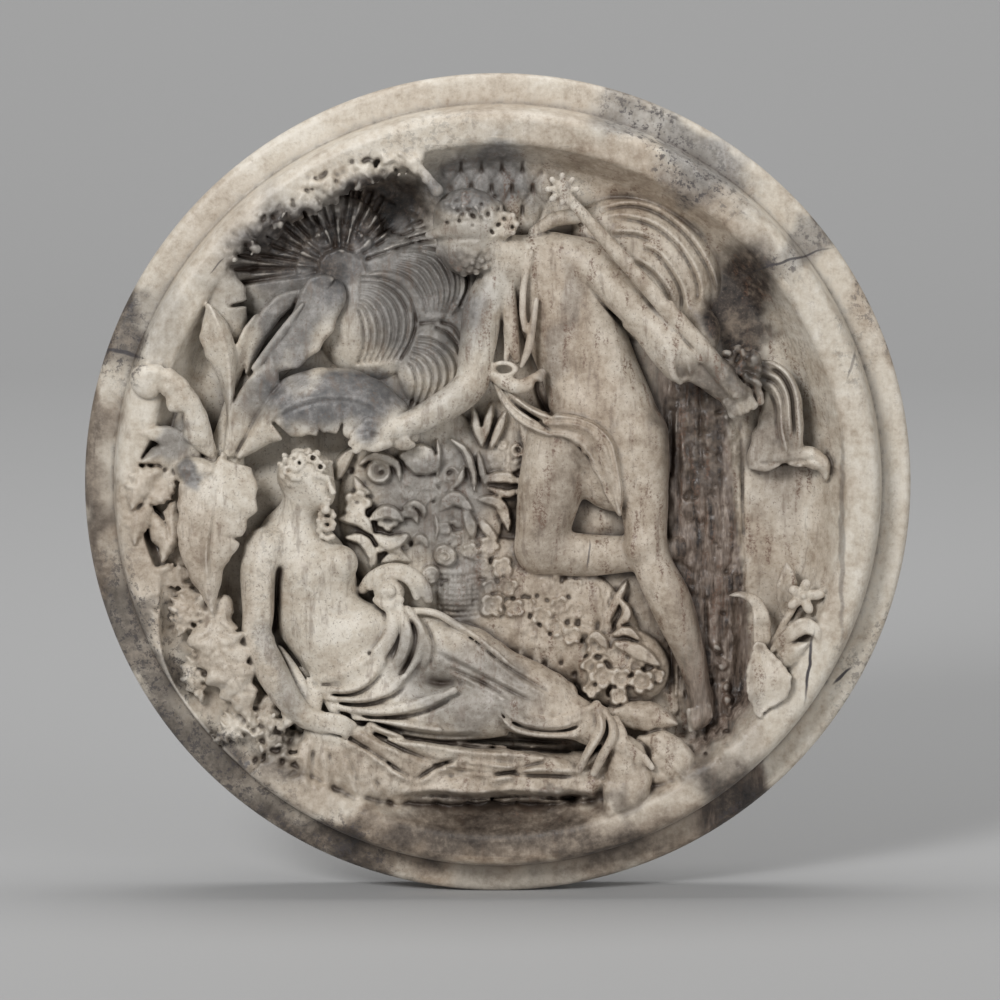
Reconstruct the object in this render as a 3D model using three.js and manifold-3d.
// Round marble relief plaque, carved from one block: a stepped rim around a sunken field, and in the field
// a youth with a wand who bends over a sleeping woman, among broad leaves, a gilled canopy and flowers.
// Millimetres, +Z up. The flat back lies in the plane y = 0 with its centre at the origin, and the front
// faces -Y. A place on the plaque is written [x, z, height], where height is measured out from the back.
import * as THREE from "three";
import { mergeVertices } from "three/addons/utils/BufferGeometryUtils.js";
import Module from "manifold-3d";

const wasm = await Module();
wasm.setup();

// Driving dimensions of the blank
const DIAMETER = 300;
const RADIUS = DIAMETER / 2;
const BACK_RADIUS = 146;
const BACK_CHAMFER = 1;
const FIELD_HEIGHT = 16;
const FLANGE_HEIGHT = 20;
const RING_HEIGHT = 34.5;
const RING_OUTER_RADIUS = 138;
const RING_INNER_RADIUS = 122;
const FIELD_RADIUS = 113;
const EDGE_ROUND = 3;
const RIM_SEGMENTS = 52;

// How finely the carving is cut
const LIMB_SIDES = 6;
const FOLD_SIDES = 4;
const LIMB_STEPS = 2;
const DOME_REACH = 0.6;
const DOME_WIDTH = 0.55;
const BALL_SIDES = 7;
const WIDE_BALL_SIDES = 9;
const BALL_RINGS = 5;
const SHEET_STEPS = 4;
const SHEET_STRIPS = 2;
const BROAD_LEAF_THICKNESS = 5;

// Marble finish
const MARBLE = new THREE.MeshStandardMaterial({ color: 0xcdc3b4, roughness: 0.5, metalness: 0 });

// Solids and their joining

const OUTWARD = new THREE.Vector3(0, -1, 0);
const at = ([x, z, height]) => new THREE.Vector3(x, -height, z);

function solidOf(geometry) {
  const bare = geometry.index ? geometry.toNonIndexed() : geometry.clone();
  bare.deleteAttribute("normal");
  bare.deleteAttribute("uv");
  const merged = mergeVertices(bare, 1e-4);
  const vertProperties = merged.attributes.position.array;
  const triVerts = new Uint32Array(merged.index.array);
  return new wasm.Manifold(new wasm.Mesh({ numProp: 3, vertProperties, triVerts }));
}

const joined = (solids) => solids.reduce((whole, next) => whole.add(next));

function geometryOf(solid) {
  const mesh = solid.getMesh();
  const geometry = new THREE.BufferGeometry();
  geometry.setAttribute("position", new THREE.BufferAttribute(mesh.vertProperties, 3));
  geometry.setIndex(new THREE.BufferAttribute(mesh.triVerts, 1));
  geometry.computeVertexNormals();
  return geometry;
}

// Forms of the carving

// A straight tapered limb with pointed domes at its ends.
function limb(from, to, fromRadius, toRadius, sides = FOLD_SIDES) {
  const start = at(from);
  const end = at(to);
  const length = start.distanceTo(end);
  const profile = [
    [0, -fromRadius * DOME_REACH],
    [fromRadius, 0],
    [toRadius, length],
    [0, length + toRadius * DOME_REACH],
  ].map(([radius, y]) => new THREE.Vector2(radius, y));
  const geometry = new THREE.LatheGeometry(profile, sides);
  const along = end.clone().sub(start).normalize();
  geometry.applyQuaternion(new THREE.Quaternion().setFromUnitVectors(new THREE.Vector3(0, 1, 0), along));
  return solidOf(geometry.translate(start.x, start.y, start.z));
}

// One smooth limb through joints given as [place, radius]; flat is its depth over its width.
function limbs(joints, sides = LIMB_SIDES, flat = 1, spanSteps = LIMB_STEPS) {
  const curve = new THREE.CatmullRomCurve3(joints.map(([place]) => at(place)));
  const spans = joints.length - 1;
  const rings = spans * spanSteps + 2;
  const geometry = new THREE.CylinderGeometry(1, 1, 1, sides, rings);
  const position = geometry.attributes.position;
  for (let i = 0; i < position.count; i++) {
    const ring = (0.5 - position.getY(i)) * rings;
    const u = THREE.MathUtils.clamp((ring - 1) / (rings - 2), 0, 1);
    const span = Math.min(Math.floor(u * spans), spans - 1);
    const radius = THREE.MathUtils.lerp(joints[span][1], joints[span + 1][1], u * spans - span);
    const along = curve.getTangent(u);
    const across = along.clone().cross(OUTWARD).normalize();
    const depth = along.clone().cross(across);
    const isEnd = ring < 0.5 || ring > rings - 0.5;
    const reach = isEnd ? radius * DOME_REACH * Math.sign(u - 0.5) : 0;
    const wide = isEnd ? radius * DOME_WIDTH : radius;
    const point = curve.getPoint(u).addScaledVector(along, reach);
    point.addScaledVector(across, wide * position.getX(i));
    point.addScaledVector(depth, wide * flat * position.getZ(i));
    position.setXYZ(i, point.x, point.y, point.z);
  }
  return solidOf(geometry);
}

// A ridge of drapery of one thickness along a line of places.
const fold = (line, radius) => limbs(line.map((place) => [place, radius]), FOLD_SIDES, 1, 1);

// An ellipsoid with radii along x, z and height, turned in the plaque's plane.
function ball(place, [radiusX, radiusZ, radiusHeight], turnDegrees = 0, sides = BALL_SIDES) {
  const geometry = new THREE.SphereGeometry(1, sides, BALL_RINGS).scale(radiusX, radiusHeight, radiusZ);
  geometry.rotateY(-THREE.MathUtils.degToRad(turnDegrees));
  const centre = at(place);
  return solidOf(geometry.translate(centre.x, centre.y, centre.z));
}

// A curved sheet along a spine: halfWidth(u) across it, and lift(u, v) out of the plaque, with u from 0 at
// the root to 1 at the tip and v from -1 to 1 across.
function sheet(spine, halfWidth, lift, thickness, steps = SHEET_STEPS, strips = SHEET_STRIPS) {
  const curve = new THREE.CatmullRomCurve3(spine.map(at));
  const geometry = new THREE.BoxGeometry(1, 1, 1, steps, 1, strips);
  const position = geometry.attributes.position;
  for (let i = 0; i < position.count; i++) {
    const u = position.getX(i) + 0.5;
    const v = position.getZ(i) * 2;
    const across = curve.getTangent(u).cross(OUTWARD).normalize();
    const point = curve.getPoint(u).addScaledVector(across, v * halfWidth(u));
    point.addScaledVector(OUTWARD, lift(u, v) - (position.getY(i) + 0.5) * thickness);
    position.setXYZ(i, point.x, point.y, point.z);
  }
  const made = solidOf(geometry);
  return made.volume() < 0 ? solidOf(turnedInsideOut(geometry)) : made;
}

function turnedInsideOut(geometry) {
  const index = geometry.index;
  for (let i = 0; i < index.count; i += 3) {
    const second = index.getX(i + 1);
    index.setX(i + 1, index.getX(i + 2));
    index.setX(i + 2, second);
  }
  return geometry;
}

// Width and lift laws for leaves and cloth
const leafWidth = (widest, root, tip) => (u) =>
  root * (1 - u) ** 2 + widest * Math.sin(Math.PI * Math.min(1, 0.08 + 0.92 * u ** 0.8)) + tip * u ** 2;
const keeled = (depth) => (u, v) => depth * Math.abs(v) * Math.sin(Math.PI * (0.1 + 0.8 * u));
const crowned = (depth) => (u, v) => -depth * v * v;
const pleated = (depth, pleats) => (u, v) => depth * Math.cos(pleats * Math.PI * v) - 2 * depth * v * v;

// A flat many-petalled flower or star, cut into the plaque's plane and rooted in the ground behind it.
function rosette([x, z, height], radius, petals, waist, rootHeight) {
  const shape = new THREE.Shape();
  const count = petals * 2;
  for (let i = 0; i < count; i++) {
    const angle = (i / count) * 2 * Math.PI;
    const reach = radius * (1 - waist * (0.5 - 0.5 * Math.cos(petals * angle)));
    shape[i ? "lineTo" : "moveTo"](reach * Math.cos(angle), reach * Math.sin(angle));
  }
  const geometry = new THREE.ExtrudeGeometry(shape, { depth: height - rootHeight, bevelEnabled: false });
  geometry.rotateX(Math.PI / 2);
  return solidOf(geometry.translate(x, -rootHeight, z));
}

// The blank: rim and sunken field turned about the plaque's axis
function blank() {
  const profile = [
    [0, 0],
    [BACK_RADIUS - BACK_CHAMFER, 0],
    [BACK_RADIUS, BACK_CHAMFER],
    [RADIUS, FLANGE_HEIGHT - EDGE_ROUND],
    [RADIUS - EDGE_ROUND, FLANGE_HEIGHT],
    [RING_OUTER_RADIUS + 0.8, FLANGE_HEIGHT + 1.5],
    [RING_OUTER_RADIUS, RING_HEIGHT - 5],
    [RING_OUTER_RADIUS - 4.5, RING_HEIGHT - 0.5],
    [RING_INNER_RADIUS + 4, RING_HEIGHT - 0.5],
    [RING_INNER_RADIUS - 2, FIELD_HEIGHT + 8],
    [RING_INNER_RADIUS - 5, FIELD_HEIGHT + 2],
    [FIELD_RADIUS, FIELD_HEIGHT],
    [0, FIELD_HEIGHT],
  ];
  const points = profile.map(([radius, height]) => new THREE.Vector2(radius, -height)).reverse();
  return solidOf(new THREE.LatheGeometry(points, RIM_SEGMENTS));
}

// The youth, seen from the back, who bends to the left and kneels on a ledge
function youth() {
  const head = [
    ball([-10, 95, 28], [14.5, 14, 12]),
    ball([-15, 88, 28], [8.5, 10, 9], 20),
    limb([-3, 87, 27], [11, 80, 24], 7.5, 9.5, LIMB_SIDES),
  ];
  const body = limbs(
    [[[13, 82, 21], 13], [[21, 67, 20], 21], [[35, 42, 20], 18], [[42, 20, 21], 20], [[44, 8, 21], 16]],
    LIMB_SIDES + 2,
    0.66,
  );
  const farArm = limbs([
    [[4, 78, 25], 8.5],
    [[-8, 39, 29], 6.2],
    [[-32, 22, 32], 4.4],
    [[-43, 19.5, 33], 4.8],
  ]);
  const nearArm = limbs([
    [[34, 82, 26], 10],
    [[58, 58, 32], 7.8],
    [[80, 38.5, 33], 5.2],
    [[87, 33, 33], 6],
  ]);
  const kneelingLeg = [
    limbs([[[27, 17, 22], 13], [[20, -4, 22], 11.5], [[15, -23, 22], 9.6]]),
    limb([15, -24, 21], [49, -25.5, 19], 8.4, 7.4, LIMB_SIDES),
    ball([69, -23, 17], [5.5, 6.5, 5]),
  ];
  const standingLeg = limbs([
    [[48, 17, 23], 13],
    [[54, -27, 23], 8.6],
    [[64, -46, 23], 9],
    [[74, -75, 20], 5],
    [[75.5, -89, 20], 5.4],
  ]);
  return joined([...head, body, farArm, nearArm, ...kneelingLeg, standingLeg]);
}

// The wand with its star, the cloak that billows behind, the loincloth, and the cloth on the arm
function wandAndCloth() {
  const cloakCentre = [51, 79];
  const wand = limb([24, 106, 32], [91, 30, 35], 1.8, 2.8);
  const star = rosette([22.5, 109, 35], 6.4, 8, 0.5, 30);
  const starStem = limb([22.5, 109, 16], [22.5, 109, 31], 3.5, 2.4);
  const cloak = ball([...cloakCentre, 16], [27.5, 28, 9], 0, WIDE_BALL_SIDES);
  const cloakFolds = [25, 17].map((reach) => {
    const line = [105, 70, 35, 0, -35].map((degrees) => {
      const angle = THREE.MathUtils.degToRad(degrees);
      const [x, z] = [Math.cos(angle), Math.sin(angle)].map((share, k) => cloakCentre[k] + reach * share);
      return [x, z, 26 - reach / 4];
    });
    return fold(line, 2.6);
  });
  const loincloth = sheet(
    [[0, 39, 29], [14, 27, 31], [34, 23, 36], [44, 8, 36], [43, -11, 30]],
    (u) => 4 + 7 * Math.sin(Math.PI * u ** 1.2),
    pleated(1.4, 2),
    7,
    6,
    4,
  );
  const sash = fold([[-2, 40, 28], [6, 37, 29], [15, 41, 29]], 3.2);
  const strap = limb([10, 40, 29], [13, 84, 30], 1.8, 2.4);
  const tail = sheet(
    [[86, 38, 28], [102, 40, 27], [110, 25, 23], [108, 6, 21]],
    (u) => 5 + 8 * u,
    pleated(1.4, 2),
    8,
    4,
    4,
  );
  const tailEnd = fold([[93, 6, 20], [107, 5, 21], [120, 3, 22]], 3.6);
  const sleeve = limb([62, 52, 31], [74, 46, 33], 8.5, 7.5, LIMB_SIDES);
  return joined([wand, star, starStem, cloak, ...cloakFolds, loincloth, sash, strap, tail, tailEnd, sleeve]);
}

// The sleeping woman, propped on her arm, and the drapery over her legs
function sleeper() {
  const head = [
    ball([-71, 5, 30], [12.5, 11.5, 11.5]),
    ball([-64, 0, 31], [8, 9, 9], -20),
    limb([-71, -4, 29], [-71, -18, 26], 7.2, 9, LIMB_SIDES),
  ];
  const body = [
    limbs(
      [[[-72, -14, 24], 11], [[-68, -32, 23], 18], [[-60, -52, 24], 19], [[-46, -68, 24], 18]],
      LIMB_SIDES + 2,
      0.72,
    ),
    ball([-54, -28, 27], [6.6, 6.6, 7]),
    ball([-70, -32, 31], [7.5, 7.5, 6]),
    ball([-46, -53, 24], [14, 15, 12]),
  ];
  const arm = limbs([
    [[-84.5, -26, 29], 8.4],
    [[-86.5, -54.5, 32], 6.4],
    [[-66, -80.5, 33], 4.9],
    [[-56, -86, 33], 4.6],
  ]);
  const legs = [
    limbs([[[-42, -70, 23], 15], [[16, -79, 26], 12.5], [[42, -93, 27], 7.5], [[51, -100, 29], 6]]),
    limbs([[[-32, -58, 20], 13], [[1, -66, 24], 11], [[36, -80, 24], 8]]),
  ];
  const roll = [
    ball([-39, -37, 28], [7.5, 7.5, 8]),
    fold([[-49, -37, 26], [-40, -29, 28], [-28, -34, 28], [-25, -41, 26]], 3),
  ];
  const skirtFolds = [
    [[-62, -76, 33], [-40, -84, 36], [-14, -79, 38], [4, -73, 36]],
    [[-28, -48, 28], [-12, -51, 31], [4, -61, 34], [14, -70, 33]],
    [[2, -78, 38], [8, -88, 36], [30, -92, 35], [42, -90, 35]],
    [[40, -82, 33], [44, -94, 33], [38, -108, 30]],
  ].map((line) => fold(line, 2.4));
  return joined([...head, ...body, arm, ...legs, ...roll, ...skirtFolds]);
}

// The rumpled cloth and rocky ground along the bottom
function ground() {
  const cloth = [
    [[-66, -84, 30], [-30, -96, 31], [10, -100, 31], [38, -106, 29]],
    [[-74, -92, 29], [-46, -104, 31], [-30, -112, 30], [4, -111, 29], [36, -112, 28]],
  ].map((line) => fold(line, 4.2));
  const bank = limbs([
    [[-112, -50, 24], 9],
    [[-100, -72, 25], 10],
    [[-84, -93, 26], 11],
    [[-60, -105, 24], 12],
    [[-20, -112, 20], 12],
    [[44, -106, 18], 12],
  ]);
  const rocks = [
    [-106, -50, 33],
    [-95, -68, 34],
    [-80, -92, 34],
  ].map((place, i) => ball(place, [8, 9, 5], 30 * i));
  return joined([bank, ...cloth, ...rocks]);
}

// The broad-leaved plant that rises at the left
function broadLeaves() {
  const leaves = [
    [[[-101, 11, 35], [-106, -8, 40], [-105, -30, 40], [-102, -48, 36]], [14, 3, 0.6], keeled(-3)],
    [[[-97, 8, 28], [-84, 28, 34], [-62, 36, 36], [-30, 24, 32]], [9, 3, 3], crowned(5)],
    [[[-98, 14, 26], [-84, 40, 29], [-66, 61, 29], [-55, 70, 27]], [11, 2.5, 8], keeled(3)],
    [[[-97, 14, 28], [-98, 38, 32], [-102, 60, 35], [-105, 68, 35]], [8, 2, 1.5], keeled(3)],
    [[[-94, 24, 22], [-93, 56, 29], [-98, 82, 34]], [10, 3, 4], keeled(2)],
    [[[-100, 11, 30], [-107, 32, 37], [-118, 43, 38], [-131, 33, 34]], [9, 2.5, 2], crowned(4)],
  ].map(([spine, width, lift]) => sheet(spine, leafWidth(...width), lift, BROAD_LEAF_THICKNESS));
  const stems = [
    [[[-100, 6, 22], 9], [[-96, 20, 22], 7], [[-88, 40, 20], 8], [[-62, 58, 18], 9]],
    [[[-112, 24, 26], 10], [[-122, -4, 26], 9], [[-118, -32, 26], 9]],
  ].map((joints) => limbs(joints, FOLD_SIDES + 1));
  return joined([...leaves, ...stems]);
}

// The gilled canopy over the plant, with its lumpy lip, ribs and two swirled lobes
function canopy() {
  const hub = [-57, 79, 16];
  const lip = [
    [-94, 86, 33],
    [-84, 96, 35],
    [-72, 105, 36],
    [-59, 112, 36],
    [-44, 118, 36],
    [-29, 120, 36],
    [-21, 110, 35],
  ];
  const lipRoll = limbs(lip.map((place, i) => [place, 4.4 + (i % 2)]), FOLD_SIDES + 1, 1, 1);
  const ribs = [];
  const ribCount = 8;
  for (let i = 0; i < ribCount; i++) {
    const share = (i / (ribCount - 1)) * (lip.length - 1.01);
    const [a, b] = [lip[Math.floor(share)], lip[Math.floor(share) + 1]];
    const [x, z, height] = a.map((value, k) => value + (b[k] - value) * (share % 1));
    ribs.push(limb(hub, [x, z, height - 5], 2, 4, FOLD_SIDES));
  }
  const lobes = [
    ball([-36, 62, 14], [25, 28, 7.3], 20, WIDE_BALL_SIDES),
    ball([-27, 41, 14], [14, 17, 8.1]),
  ];
  return joined([lipRoll, ...ribs, ...lobes]);
}

// Flowers and leaves that fill the ground between the figures
function flowers() {
  const bed = [
    ball([-26, -12, 14], [26, 34, 7]),
    ball([24, -58, 14], [42, 20, 9], -24),
  ];
  const basket = ball([-14, -38, 20], [9, 8, 5]);
  const blooms = [
    [-43, 6, 24, 7.5, 6],
    [-51, -6, 26, 6, 5],
    [-39, -15, 25, 8, 5],
    [-12, -14, 22, 7, 4],
    [-4, -31, 23, 8, 5],
    [1, -46, 24, 8, 5],
    [16, -46, 25, 8, 5],
    [28, -54, 24, 8, 5],
    [38, -62, 27, 8, 5],
    [50, -66, 28, 7, 5],
  ].map(([x, z, height, radius, petals]) => rosette([x, z, height], radius, petals, 0.3, FIELD_HEIGHT - 2));
  return joined([...bed, basket, ...blooms]);
}

// The large leaves at the sleeper's feet and the lily-like plant on the right
function outerLeaves() {
  const underFoot = [
    sheet([[44, -80, 27], [56, -83, 30], [68, -88, 28]], leafWidth(9, 3, 1), crowned(3), 8, 5),
    sheet([[52, -94, 28], [62, -101, 31], [73, -113, 28]], leafWidth(12, 4, 1), crowned(3), 9, 5),
    sheet([[40, -104, 30], [46, -112, 34], [40, -122, 33]], leafWidth(11, 4, 1), crowned(3), 14, 5),
  ];
  const lily = [
    sheet([[92, -40, 20], [96, -50, 27], [98, -62, 26]], leafWidth(4, 1.5, 1), keeled(2), 6, 4),
    sheet([[101, -62, 30], [97, -72, 33], [100, -82, 31]], leafWidth(11, 4, 3), crowned(4), 10, 5),
    sheet([[102, -60, 28], [112, -52, 31], [118, -58, 32]], leafWidth(5, 2, 1), crowned(2), 8, 4),
    limb([100, -64, 24], [109, -42, 27], 2.2, 2),
    rosette([110, -40, 31], 7.5, 5, 0.45, 15),
    ball([110, -30, 22], [3.6, 7, 6], 8),
  ];
  return joined([...underFoot, ...lily]);
}

// The furrowed tree trunk behind the youth
function tree() {
  const furrows = [];
  for (let i = 0; i < 5; i++) {
    const x = 66 + 5.5 * i;
    furrows.push(limb([x, 62 - 5 * i, 13], [x + 5, -92 + 3 * i, 13], 4.6, 5.2));
  }
  return joined(furrows);
}

const plaque = joined([
  blank(),
  tree(),
  canopy(),
  flowers(),
  broadLeaves(),
  ground(),
  outerLeaves(),
  sleeper(),
  youth(),
  wandAndCloth(),
]);

const part = new THREE.Group();
const mesh = new THREE.Mesh(geometryOf(plaque), MARBLE);
mesh.name = "relief_plaque";
part.add(mesh);

export default part;
